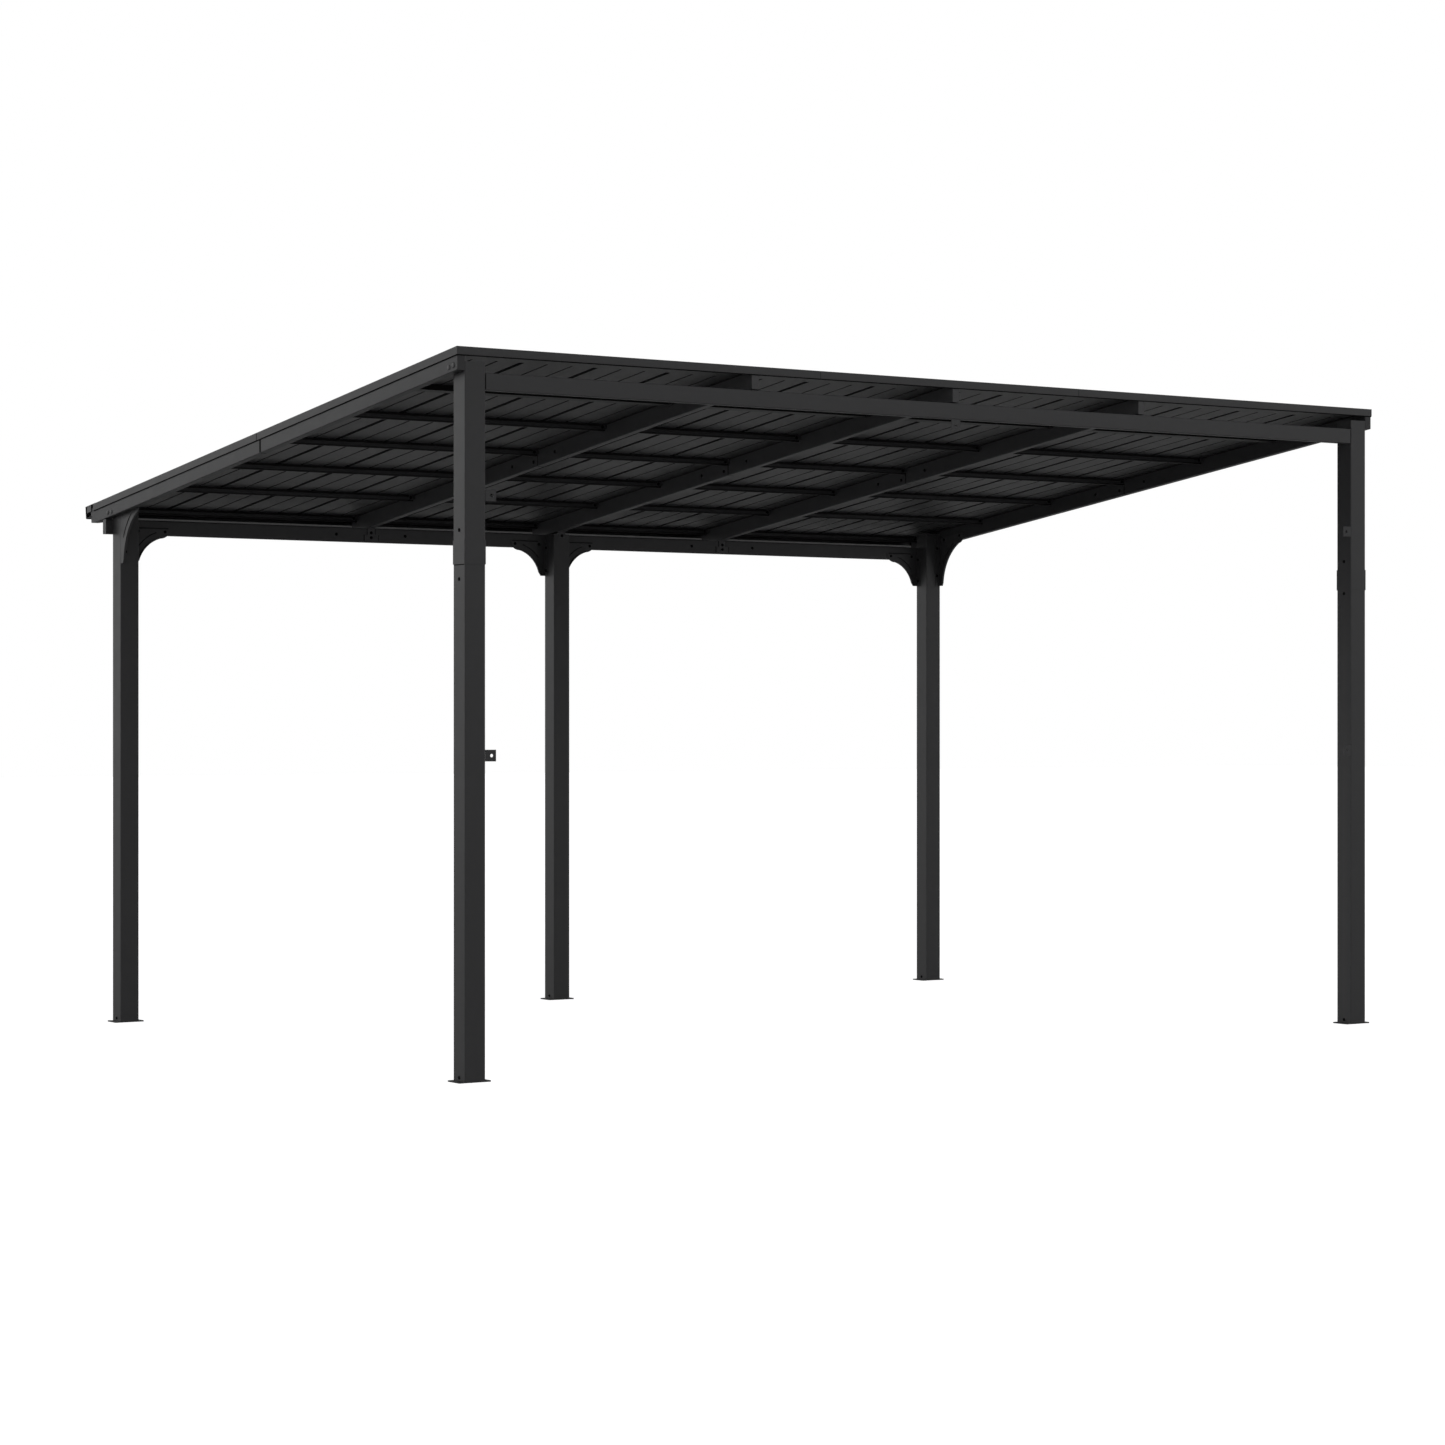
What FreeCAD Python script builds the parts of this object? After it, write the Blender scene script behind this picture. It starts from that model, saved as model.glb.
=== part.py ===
import FreeCAD, Part
import os
import Sketcher

# Lean-to roof shelter for a house wall. Three front posts and two taller wall posts carry
# five rafters, six rows of purlins and a ribbed steel roof that falls away from the wall.
# Millimetres. X runs along the wall, Y from the wall to the front, Z up. The origin lies
# on the floor under the middle of the whole shelter.
# "Run" is a level distance from the wall face, "rise" a distance square to the roof,
# counted from the underside of the roof panels.

SIZES = [
    ("frame_length", 4205, "outer face to outer face of the end posts"),
    ("frame_depth", 2930, "wall face to the outer face of the front posts"),
    ("pitch_angle", 7, "fall of the roof in degrees"),
    ("beam_clearance", 2000, "floor to the underside of the front beam"),
    ("post_side", 80, "square post"),
    ("post_wall", 1.5, "wall of the post tube"),
    ("tube_corner", 3, "rounded long edges of posts, sleeves, beams and rafters"),
    ("wall_post_rise", 32, "wall posts above the underside of the rafters"),
    ("front_post_rise", 50, "corner posts above the underside of the rafters"),
    ("wall_post_joint", 1807, "height of the joint between the two lengths of a wall post"),
    ("sleeve_height", 82, "sleeve around that joint"),
    ("sleeve_sheet", 2, "thickness of the sleeve"),
    ("foot_plate", 5, "thickness of the base plate"),
    ("foot_ear", 22, "base plate beyond the post on each side"),
    ("foot_hole_inset", 11, "bolt hole from the post"),
    ("foot_hole_radius", 5, "bolt hole in the base plate"),
    ("socket_height", 60, "inner tube that the post slides over"),
    ("socket_wall", 2, "wall of that inner tube"),
    ("socket_clearance", 0.4, "play between post and inner tube"),
    ("beam_height", 60, "front and wall beams"),
    ("beam_width", 30, "front and wall beams"),
    ("beam_wall", 1.5, "wall of the beam tube"),
    ("rafter_width", 30, "rafter tube"),
    ("rafter_depth", 67.5, "rafter tube, square to the roof"),
    ("rafter_wall", 1.5, "wall of the rafter tube"),
    ("inner_bay", 907.5, "middle rafter to the next one, centre to centre"),
    ("rafter_seam", 1502, "run of the joint between the two lengths of a rafter"),
    ("tail_overhang", 116, "rafters beyond the front beam"),
    ("tail_cut", 6.5, "level cut off the lower corner of a rafter tail"),
    ("purlin_first", 522, "run of the first purlin"),
    ("purlin_second", 1000, "run of the second purlin, which the others follow evenly"),
    ("purlin_last", 41, "wall side of the last purlin from the rafter tails"),
    ("purlin_rows", 6, "rows of purlins"),
    ("purlin_width", 34, "purlin tube, along the roof"),
    ("purlin_depth", 21.6, "purlin tube, square to the roof"),
    ("purlin_wall", 1.2, "wall of the purlin tube"),
    ("bracket_sheet", 1.5, "angle bracket at a purlin end"),
    ("bracket_leg", 12, "bracket leg along the rafter"),
    ("bracket_foot", 20, "bracket leg along the purlin"),
    ("bracket_drop", 1.6, "top of the bracket below the roof panels"),
    ("panel_overhang", 17.1, "outermost panel edges beyond the posts"),
    ("panel_pairs", 7, "roof panels, counted in twos"),
    ("panel_sheet", 0.8, "roof sheet"),
    ("rib_width", 20, "hollow rib along the left edge of a panel"),
    ("rib_height", 10, "hollow rib"),
    ("rib_clearance", 0.3, "play between two panels that hook together"),
    ("groove_first", 115, "first small groove from the edge of the panel"),
    ("groove_pitch", 100, "first to second small groove"),
    ("groove_width", 5, "small groove, at the underside"),
    ("groove_crown", 3, "small groove, at its top"),
    ("groove_height", 6, "small groove"),
    ("trim_sheet", 0.8, "roof edge trims"),
    ("trim_stand_off", 3, "trims from the rafters that they cover"),
    ("trim_rise", 12, "top of the trims above the underside of the panels"),
    ("trim_drop", 15.5, "foot of the trims below the underside of the panels"),
    ("trim_flange", 40, "top flange of the trims"),
    ("trim_lip", 121, "run of the wall trim's lip under the panels"),
    ("trim_left_seam", 622.8, "left joint of the wall and eave trims from the middle"),
    ("trim_right_seam", 590.4, "right joint of the wall and eave trims from the middle"),
    ("side_trim_seam", 1531, "run of the joint in the side trims"),
    ("side_trim_stop", 21, "side trims stop short of the rafter tails"),
    ("eave_depth", 56, "eave trim beyond the rafter tails"),
    ("eave_height", 48.4, "eave trim, square to the roof"),
    ("eave_lap", 46, "top flange of the eave trim from the rafter tails towards the wall"),
    ("eave_gap", 6, "roof panels stop short of the eave trim"),
    ("flap_gap", 19.5, "end flap of the eave trim from the side trim"),
    ("flap_width", 41, "end flap of the eave trim"),
    ("brace_sheet", 2, "pressed corner brace"),
    ("brace_drop", 123, "foot of the braces below the front beam's underside"),
    ("brace_foot", 22, "flat foot of a brace"),
    ("brace_heel", 16, "height of the rounding above the foot"),
    ("brace_lap", 29.6, "brace over the face of the beam or rafter"),
    ("brace_flange", 28, "flange on the post"),
    ("brace_lip", 9, "stiffening lip along the arch"),
    ("brace_tip", 32, "height of the rounded tip"),
    ("brace_lobe", 45, "radius of the rounded tip"),
    ("beam_brace_reach", 176, "brace on the front beam from the post"),
    ("beam_brace_arch_end", 132, "end of the arch from the post"),
    ("beam_brace_arch_out", 165, "centre of the arch from the post"),
    ("beam_brace_arch_down", 145, "centre of the arch below the beam's underside"),
    ("beam_brace_arch", 137, "radius of the arch"),
    ("rafter_brace_reach", 186, "brace on the end rafter from the post"),
    ("rafter_brace_arch_end", 150, "end of the arch from the post"),
    ("rafter_brace_arch_out", 256, "centre of the arch from the post"),
    ("rafter_brace_arch_down", 128, "centre of the arch below the beam's underside"),
    ("rafter_brace_arch", 229, "radius of the arch"),
    ("tab_width", 42, "wall tab"),
    ("tab_height", 40, "wall tab"),
    ("tab_sheet", 2, "wall tab"),
    ("tab_hole_radius", 6, "screw hole of a wall tab"),
    ("tab_hole_reach", 25, "screw hole from the post or beam"),
    ("low_tab", 1113.5, "height of the lower wall tabs"),
    ("high_tab", 2002, "height of the upper wall tabs"),
    ("tee_sheet", 2, "bracket between front beam and rafter"),
    ("tee_neck", 35, "narrow upper part of the bracket"),
    ("tee_foot", 65, "wide lower part of the bracket"),
    ("tee_shoulder", 33, "height of the wide part above the beam's underside"),
    ("tee_bottom", 6, "bracket above the beam's underside"),
    ("tee_leg", 30, "leg of the bracket under the rafter"),
    ("post_tab_bottom", 15, "bracket of the middle post below the top of the post"),
]

PLACES = [
    ("half_length", "Sizes.frame_length / 2"),
    ("slope", "tan(Sizes.pitch_angle * 1 deg)"),
    ("plumb", "1 / cos(Sizes.pitch_angle * 1 deg)"),
    ("lean", "sin(Sizes.pitch_angle * 1 deg)"),
    ("tail_run", "Sizes.frame_depth + Sizes.beam_width + Sizes.tail_overhang"),
    ("eave_run", "tail_run + Sizes.eave_depth"),
    ("wall_face", "Sizes.trim_stand_off / 2 - eave_run / 2"),
    ("front_face", "wall_face + Sizes.frame_depth"),
    ("beam_top", "Sizes.beam_clearance + Sizes.beam_height"),
    ("rafter_base", "beam_top + (Sizes.frame_depth + Sizes.beam_width) * slope"),
    ("roof_base", "rafter_base + (Sizes.rafter_depth + Sizes.trim_sheet) * plumb"),
    ("wall_beam_top", "rafter_base - Sizes.beam_width * slope"),
    ("rafter_at_post", "Sizes.beam_height + (Sizes.beam_width + Sizes.post_side) * slope"),
    ("trim_end", "half_length + Sizes.rafter_width"),
    ("tail_base", "rafter_base - tail_run * slope"),
    ("tail_level", "tail_base + Sizes.tail_cut"),
    ("tail_level_run", "tail_run - Sizes.tail_cut / slope"),
    ("panel_run", "eave_run - Sizes.trim_sheet - Sizes.eave_gap"),
    ("side_trim_run", "tail_run - Sizes.side_trim_stop"),
    ("purlin_span", "tail_run - Sizes.purlin_last - Sizes.purlin_second"),
    ("purlin_pitch", "purlin_span / (Sizes.purlin_rows - 2)"),
    ("roof_length", "Sizes.frame_length + 2 * Sizes.panel_overhang"),
    ("panel_pitch", "roof_length / (2 * Sizes.panel_pairs)"),
    ("post_reach", "half_length - Sizes.post_side / 2"),
    ("wall_post_middle", "wall_face + Sizes.post_side / 2"),
    ("front_post_middle", "front_face - Sizes.post_side / 2"),
]

# Lines that many pieces share.
LEFT_POST = "-Places.post_reach"
RIGHT_POST = "Places.post_reach"
INNER_LEFT = "-(Places.half_length - Sizes.post_side)"
INNER_RIGHT = "Places.half_length - Sizes.post_side"
BAY = "Sizes.inner_bay"
HALF_RAFTER = "Sizes.rafter_width / 2"
TRIM_END = "Places.trim_end"
BEAM_FACE = "Places.front_face"
BEAM_BOTTOM = "Sizes.beam_clearance"
WALL_BEAM_BOTTOM = "Places.wall_beam_top - Sizes.beam_height"
TRIM = "Sizes.trim_sheet"
OFF = "Sizes.trim_stand_off"
RISE = "Sizes.trim_rise"
DROP = "-Sizes.trim_drop"
LEFT_SEAM = "Sizes.trim_left_seam"
RIGHT_SEAM = "Sizes.trim_right_seam"

UP = FreeCAD.Vector(0, 0, 1)
ACROSS = FreeCAD.Vector(1, 0, 0)
PARALLEL = 0.999

document = FreeCAD.newDocument("shelter")


def write_sheet(name, rows):
    sheet = document.addObject("Spreadsheet::Sheet", name)
    for number, row in enumerate(rows, start=1):
        sheet.set(f"A{number}", row[0])
        sheet.set(f"B{number}", str(row[1]))
        sheet.setAlias(f"B{number}", row[0])
        if len(row) > 2:
            sheet.set(f"C{number}", row[2])
    return sheet


sizes = write_sheet("Sizes", SIZES)
places = write_sheet("Places", [(name, f"={formula}") for name, formula in PLACES])
document.recompute()


def number(expression):
    return float(sizes.evalExpression(expression))


def place(item, x="0", y="0", z="0"):
    for axis, where in zip("xyz", (x, y, z)):
        item.setExpression(f"Placement.Base.{axis}", where)
    return item


def tilt(item):
    # The item follows the fall of the roof.
    axis = FreeCAD.Vector(-1, 0, 0)
    turn = FreeCAD.Rotation(axis, number("Sizes.pitch_angle"))
    item.Placement = FreeCAD.Placement(FreeCAD.Vector(), turn)
    item.setExpression("Placement.Rotation.Angle", "Sizes.pitch_angle * 1 deg")
    return item


def add(kind, name):
    item = document.addObject(kind, name)
    item.Label = name
    return item


# Plain shapes

def box(name, length, width, height, at=("0", "0", "0")):
    item = add("Part::Box", name)
    item.setExpression("Length", length)
    item.setExpression("Width", width)
    item.setExpression("Height", height)
    return place(item, *at)


def cut(name, whole, hole):
    item = add("Part::Cut", name)
    item.Base = whole
    item.Tool = hole
    return item


def group(name, members):
    item = add("Part::Compound", name)
    item.Links = members
    return item


def mirrored(name, source):
    # The same piece on the other side of the shelter's middle.
    item = add("Part::Mirroring", name)
    item.Source = source
    item.Normal = ACROSS
    return item


# Drawn shapes

def body(name, x="0", y="0", z="0"):
    return place(add("PartDesign::Body", name), x, y, z)


def sketch(owner, role):
    planes = {feature.Role: feature for feature in owner.Origin.OriginFeatures}
    drawing = owner.newObject("Sketcher::SketchObject", f"{owner.Name}_sketch")
    drawing.AttachmentSupport = [(planes[role], "")]
    drawing.MapMode = "FlatFace"
    return drawing


def arc_through(start, end, radius, centre_on_right):
    # The short arc from start to end, as three points.
    along = end - start
    side = FreeCAD.Vector(along.y, -along.x, 0).normalize()
    if not centre_on_right:
        side = side * -1
    half = along.Length / 2
    height = radius - (radius * radius - half * half) ** 0.5
    middle = (start + end) * 0.5 - side * height
    return Part.Arc(start, middle, end)


def outline(drawing, corners):
    # Closed outline. A corner is (x, y) or (x, y, radius, turn): the edge that leaves a
    # corner of the second kind is an arc with its centre on the right or left of the path.
    points = [FreeCAD.Vector(number(corner[0]), number(corner[1]), 0) for corner in corners]
    edges = []
    for index, corner in enumerate(corners):
        start = points[index]
        end = points[(index + 1) % len(points)]
        if len(corner) == 2:
            edges.append((drawing.addGeometry(Part.LineSegment(start, end)), 1, 2))
            continue
        right = corner[3] == "right"
        arc = arc_through(start, end, number(corner[2]), right)
        first, last = (2, 1) if right else (1, 2)
        edges.append((drawing.addGeometry(arc), first, last))
    for index, (edge, first, last) in enumerate(edges):
        following, following_first, _ = edges[(index + 1) % len(edges)]
        drawing.addConstraint(
            Sketcher.Constraint("Coincident", edge, last, following, following_first))
    for (edge, first, last), corner, point in zip(edges, corners, points):
        fix(drawing, "DistanceX", edge, first, point.x, corner[0])
        fix(drawing, "DistanceY", edge, first, point.y, corner[1])
        if len(corner) > 2:
            radius = Sketcher.Constraint("Radius", edge, number(corner[2]))
            drawing.setExpression(f"Constraints[{drawing.addConstraint(radius)}]", corner[2])


def fix(drawing, kind, edge, point, distance, expression):
    rule = Sketcher.Constraint(kind, -1, 1, edge, point, distance)
    drawing.setExpression(f"Constraints[{drawing.addConstraint(rule)}]", expression)


def circle(drawing, x, y, radius):
    centre = FreeCAD.Vector(number(x), number(y), 0)
    ring = drawing.addGeometry(Part.Circle(centre, UP, number(radius)))
    fix(drawing, "DistanceX", ring, 3, centre.x, x)
    fix(drawing, "DistanceY", ring, 3, centre.y, y)
    rule = Sketcher.Constraint("Radius", ring, number(radius))
    drawing.setExpression(f"Constraints[{drawing.addConstraint(rule)}]", radius)


def pad(owner, drawing, length, reverse=False, both=False):
    feature = owner.newObject("PartDesign::Pad", f"{owner.Name}_pad")
    feature.Profile = drawing
    feature.setExpression("Length", length)
    feature.Reversed = reverse
    if both:
        feature.SideType = "Symmetric"
    return feature


def pocket(owner, drawing, length, reverse=False, both=False):
    feature = owner.newObject("PartDesign::Pocket", f"{owner.Name}_pocket")
    feature.Profile = drawing
    feature.setExpression("Length", length)
    feature.Reversed = reverse
    if both:
        feature.SideType = "Symmetric"
    return feature


def pad_outline(owner, role, corners, length, reverse=False, both=False):
    drawing = sketch(owner, role)
    outline(drawing, corners)
    return pad(owner, drawing, length, reverse, both)


def round_edges(owner, feature, direction):
    # Rounds the edges that run in the given direction.
    document.recompute([feature])
    chosen = []
    for index, edge in enumerate(feature.Shape.Edges, start=1):
        along = (edge.lastVertex().Point - edge.firstVertex().Point).normalize()
        if abs(along.dot(direction)) > PARALLEL:
            chosen.append(f"Edge{index}")
    fillet = owner.newObject("PartDesign::Fillet", f"{owner.Name}_edges")
    fillet.Base = (feature, chosen)
    fillet.setExpression("Radius", "Sizes.tube_corner")
    owner.Tip = fillet
    return fillet


def under(run, above="0"):
    # Height of a line along the rafters, square to the roof above their underside.
    return f"Places.rafter_base + ({above}) * Places.plumb - ({run}) * Places.slope"


def roof(run, rise="0"):
    # Height of a line along the roof at the given rise.
    return f"Places.roof_base + ({rise}) * Places.plumb - ({run}) * Places.slope"


def roof_point(run, rise="0"):
    return (run, roof(run, rise))


def rectangle(left, bottom, right, top):
    return [(left, bottom), (right, bottom), (right, top), (left, top)]


# Posts and feet

def square(side):
    half = f"({side}) / 2"
    return rectangle(f"-{half}", f"-{half}", half, half)


def post(name, x, y, side, wall, bottom, top, cap="0"):
    # Square tube with rounded edges; a cap closes its top.
    made = body(name, x, y, bottom)
    height = f"{top} - ({bottom})"
    tube = pad_outline(made, "XY_Plane", square(side), height)
    round_edges(made, tube, UP)
    hollow = sketch(made, "XY_Plane")
    outline(hollow, square(f"{side} - 2 * {wall}"))
    pocket(made, hollow, f"{height} - {cap}", reverse=True)
    return made


def foot(name, x, y):
    # Base plate with an ear on each side and the inner tube that holds the post.
    made = body(name, x, y)
    half = "Sizes.post_side / 2"
    ear = f"{half} + Sizes.foot_ear"
    plate = rectangle(f"-({ear})", f"-{half}", ear, half)
    pad_outline(made, "XY_Plane", plate, "Sizes.foot_plate")
    outer = "Sizes.post_side / 2 - Sizes.post_wall - Sizes.socket_clearance"
    inner = f"{outer} - Sizes.socket_wall"
    height = "Sizes.foot_plate + Sizes.socket_height"
    drawing = sketch(made, "XY_Plane")
    outline(drawing, square(f"2 * ({outer})"))
    outline(drawing, square(f"2 * ({inner})"))
    pad(made, drawing, height)
    holes = sketch(made, "XY_Plane")
    reach = f"{half} + Sizes.foot_hole_inset"
    circle(holes, f"-({reach})", "0", "Sizes.foot_hole_radius")
    circle(holes, reach, "0", "Sizes.foot_hole_radius")
    pocket(made, holes, "Sizes.foot_plate", reverse=True)
    return made


def posts():
    side = "Sizes.post_side"
    wall = "Sizes.post_wall"
    front = "Places.front_post_middle"
    back = "Places.wall_post_middle"
    floor = "Sizes.foot_plate"
    joint = "Sizes.wall_post_joint"
    wall_top = "Places.rafter_base + Sizes.wall_post_rise"
    beam_top = "Places.beam_top"
    corner_top = (f"{beam_top} + (Sizes.beam_width + Sizes.post_side) * Places.slope"
                  " + Sizes.front_post_rise")
    made = [
        post("front_post_left", LEFT_POST, front, side, wall, floor, corner_top, wall),
        post("front_post_middle", "0", front, side, wall, floor, beam_top, wall),
        post("front_post_right", RIGHT_POST, front, side, wall, floor, corner_top, wall),
        post("wall_post_left_lower", LEFT_POST, back, side, wall, floor, joint),
        post("wall_post_left_upper", LEFT_POST, back, side, wall, joint, wall_top, wall),
        post("wall_post_right_lower", RIGHT_POST, back, side, wall, floor, joint),
        post("wall_post_right_upper", RIGHT_POST, back, side, wall, joint, wall_top, wall),
        foot("foot_wall_left", LEFT_POST, back),
        foot("foot_wall_right", RIGHT_POST, back),
        foot("foot_front_left", LEFT_POST, front),
        foot("foot_front_middle", "0", front),
        foot("foot_front_right", RIGHT_POST, front),
    ]
    sheet = "Sizes.sleeve_sheet"
    outer = f"{side} + 2 * {sheet}"
    half = "Sizes.sleeve_height / 2"
    sleeves = [
        post("left_sleeve", LEFT_POST, back, outer, sheet, f"{joint} - {half}", f"{joint} + {half}"),
        post("right_sleeve", RIGHT_POST, back, outer, sheet, f"{joint} - {half}", f"{joint} + {half}"),
    ]
    return made + [group("wall_post_sleeves", sleeves)]


nodes = posts()


# Beams

def beam(name, left, right, y, bottom, left_cap="0", right_cap="0"):
    # Level tube along the wall or the front; a cap closes an end that can be seen.
    outside = body(f"{name}_outside", left, y, bottom)
    section = rectangle("0", "0", "Sizes.beam_width", "Sizes.beam_height")
    tube = pad_outline(outside, "YZ_Plane", section, f"{right} - ({left})")
    round_edges(outside, tube, ACROSS)
    length = f"{right} - ({left}) - {left_cap} - {right_cap}"
    width = "Sizes.beam_width - 2 * Sizes.beam_wall"
    height = "Sizes.beam_height - 2 * Sizes.beam_wall"
    at = (f"{left} + {left_cap}", f"{y} + Sizes.beam_wall", f"{bottom} + Sizes.beam_wall")
    return cut(name, outside, box(f"{name}_inside", length, width, height, at))


cap = "Sizes.beam_wall"
nodes += [
    beam("wall_beam", INNER_LEFT, INNER_RIGHT, "Places.wall_face", WALL_BEAM_BOTTOM),
    beam("front_beam_left", f"-{TRIM_END}", f"-{BAY}", BEAM_FACE, BEAM_BOTTOM, left_cap=cap),
    beam("front_beam_middle", f"-{BAY}", BAY, BEAM_FACE, BEAM_BOTTOM),
    beam("front_beam_right", BAY, TRIM_END, BEAM_FACE, BEAM_BOTTOM, right_cap=cap),
]


# Rafters

def rafter(name, x, corners, hollow_corners):
    made = body(name, x, "Places.wall_face")
    tube = pad_outline(made, "YZ_Plane", corners, "Sizes.rafter_width", both=True)
    fall = FreeCAD.Vector(0, 1, -number("Places.slope")).normalize()
    round_edges(made, tube, fall)
    hollow = sketch(made, "YZ_Plane")
    outline(hollow, hollow_corners)
    pocket(made, hollow, "Sizes.rafter_width - 2 * Sizes.rafter_wall", both=True)
    return made


def rafter_upper(name, x):
    # Upper length: plumb closed end at the wall, open end at the joint.
    seam = "Sizes.rafter_seam"
    depth = "Sizes.rafter_depth"
    skin = "Sizes.rafter_wall"
    ceiling = f"{depth} - {skin}"
    corners = [("0", under("0")), ("0", under("0", depth)),
               (seam, under(seam, depth)), (seam, under(seam))]
    hollow = [(skin, under(skin, skin)), (skin, under(skin, ceiling)),
              (seam, under(seam, ceiling)), (seam, under(seam, skin))]
    return rafter(name, x, corners, hollow)


def tail(above, inset="0"):
    # Run of the tail, which is cut square to the roof, above the rafter's underside.
    return f"Places.tail_run + ({above}) * Places.lean - ({inset}) / Places.plumb"


def rafter_lower(name, x):
    # Lower length: open end at the joint, closed tail with its lower corner cut level.
    seam = "Sizes.rafter_seam"
    depth = "Sizes.rafter_depth"
    skin = "Sizes.rafter_wall"
    ceiling = f"{depth} - {skin}"
    level = "Places.tail_level"
    level_run = "Places.tail_level_run"
    corners = [(seam, under(seam)), (seam, under(seam, depth)),
               (tail(depth), under(tail(depth), depth)),
               (tail("Sizes.tail_cut * Places.plumb"), level), (level_run, level)]
    end = tail(ceiling, skin)
    floor = f"{level} + {skin} * Places.plumb"
    floor_above = f"(Sizes.tail_cut + {skin} * (Places.plumb - Places.lean)) * Places.plumb"
    hollow = [(seam, under(seam, skin)), (seam, under(seam, ceiling)),
              (end, under(end, ceiling)), (tail(floor_above, skin), floor), (level_run, floor)]
    return rafter(name, x, corners, hollow)


end_rafter = f"Places.half_length + {HALF_RAFTER}"
rafter_lines = [f"-({end_rafter})", f"-{BAY}", "0", BAY, end_rafter]
for index, x in enumerate(rafter_lines, start=1):
    nodes.append(rafter_upper(f"rafter_{index}_upper", x))
    nodes.append(rafter_lower(f"rafter_{index}_lower", x))


# Purlins

def purlin_run(row):
    # The first purlin stands by itself, the others follow the second one evenly.
    if row == 0:
        return "Sizes.purlin_first"
    return f"Sizes.purlin_second + {row - 1} * Places.purlin_pitch"


def on_roof(item, x, run):
    # Puts a piece under the roof panels at a run from the wall.
    return place(tilt(item), x, f"Places.wall_face + {run}", roof(run))


def purlin(name, left, right, run):
    length = f"{right} - ({left})"
    depth = "Sizes.purlin_depth"
    skin = "Sizes.purlin_wall"
    outside = box(f"{name}_outside", length, "Sizes.purlin_width", depth, ("0", "0", f"-{depth}"))
    width = f"Sizes.purlin_width - 2 * {skin}"
    height = f"{depth} - 2 * {skin}"
    inside = box(f"{name}_inside", length, width, height, ("0", skin, f"{skin} - {depth}"))
    return on_roof(cut(name, outside, inside), left, run)


def purlin_bracket(name, x, run, hand):
    # Angle on the wall side of a purlin: one leg on the rafter, one on the purlin.
    sheet = "Sizes.bracket_sheet"
    height = "Sizes.purlin_depth - Sizes.bracket_drop"
    bottom = "-Sizes.purlin_depth"
    leg_x = "0" if hand > 0 else f"-{sheet}"
    foot_x = "0" if hand > 0 else "-Sizes.bracket_foot"
    leg = box(f"{name}_leg", sheet, "Sizes.bracket_leg", height,
              (leg_x, "-Sizes.bracket_leg", bottom))
    foot = box(f"{name}_foot", "Sizes.bracket_foot", sheet, height,
               (foot_x, f"-{sheet}", bottom))
    item = add("Part::Fuse", name)
    item.Base = leg
    item.Tool = foot
    return on_roof(item, x, run)


bays = [
    ("-Places.half_length", f"-({BAY} + {HALF_RAFTER})"),
    (f"-({BAY} - {HALF_RAFTER})", f"-{HALF_RAFTER}"),
    (HALF_RAFTER, f"{BAY} - {HALF_RAFTER}"),
    (f"{BAY} + {HALF_RAFTER}", "Places.half_length"),
]
brackets = []
for row in range(int(number("Sizes.purlin_rows"))):
    run = purlin_run(row)
    lengths = []
    for index, (left, right) in enumerate(bays):
        lengths.append(purlin(f"purlin_{row}_{index}", left, right, run))
        brackets.append(purlin_bracket(f"bracket_{row}_{index}_left", left, run, 1))
        brackets.append(purlin_bracket(f"bracket_{row}_{index}_right", right, run, -1))
    nodes.append(group(f"purlin_row_{row + 1}", lengths))
nodes.append(group("purlin_brackets", brackets))


# Roof panels

def panel_corners():
    # Section of one panel: a hollow rib on the left, two small grooves and, on the right,
    # the upstand that the rib of the next panel hooks over.
    sheet = "Sizes.panel_sheet"
    gap = "Sizes.rib_clearance"
    high = "Sizes.rib_height"
    wide = "Sizes.rib_width"
    stand = f"Places.panel_pitch + {sheet} + {gap}"
    corners = [("0", f"{sheet} + {gap}"), ("0", high), (wide, high), (wide, sheet)]
    grooves = ["Sizes.groove_first", "Sizes.groove_first + Sizes.groove_pitch"]
    half = "Sizes.groove_width / 2"
    crown = "Sizes.groove_crown / 2"
    top = f"{sheet} + Sizes.groove_height"
    for middle in grooves:
        corners += [(f"{middle} - {half} - {sheet}", sheet), (f"{middle} - {crown} - {sheet}", top),
                    (f"{middle} + {crown} + {sheet}", top), (f"{middle} + {half} + {sheet}", sheet)]
    hook = f"{high} - {sheet} - {gap}"
    corners += [(stand, sheet), (stand, hook), (f"{stand} + {sheet}", hook),
                (f"{stand} + {sheet}", "0")]
    for middle in reversed(grooves):
        corners += [(f"{middle} + {half}", "0"), (f"{middle} + {crown}", "Sizes.groove_height"),
                    (f"{middle} - {crown}", "Sizes.groove_height"), (f"{middle} - {half}", "0")]
    corners += [(f"{wide} - {sheet}", "0"), (f"{wide} - {sheet}", f"{high} - {sheet}"),
                (sheet, f"{high} - {sheet}"), (sheet, f"{sheet} + {gap}")]
    return corners


def panels(name, first):
    # Every second panel, beginning with the given one from the left.
    made = tilt(body(name))
    left = f"Places.panel_pitch * ({first} - Sizes.panel_pairs)"
    place(made, left, "Places.wall_face", "Places.roof_base")
    drawing = sketch(made, "XZ_Plane")
    outline(drawing, panel_corners())
    strip = pad(made, drawing, "Places.panel_run * Places.plumb", reverse=True)
    axes = {feature.Role: feature for feature in made.Origin.OriginFeatures}
    row = made.newObject("PartDesign::LinearPattern", f"{name}_row")
    row.Originals = [strip]
    row.Direction = (axes["X_Axis"], [""])
    row.setExpression("Length", "2 * Places.panel_pitch * (Sizes.panel_pairs - 1)")
    row.setExpression("Occurrences", "Sizes.panel_pairs")
    made.Tip = row
    return made


nodes += [panels("roof_panels_odd", 0), panels("roof_panels_even", 1)]


# Trims around the roof

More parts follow.
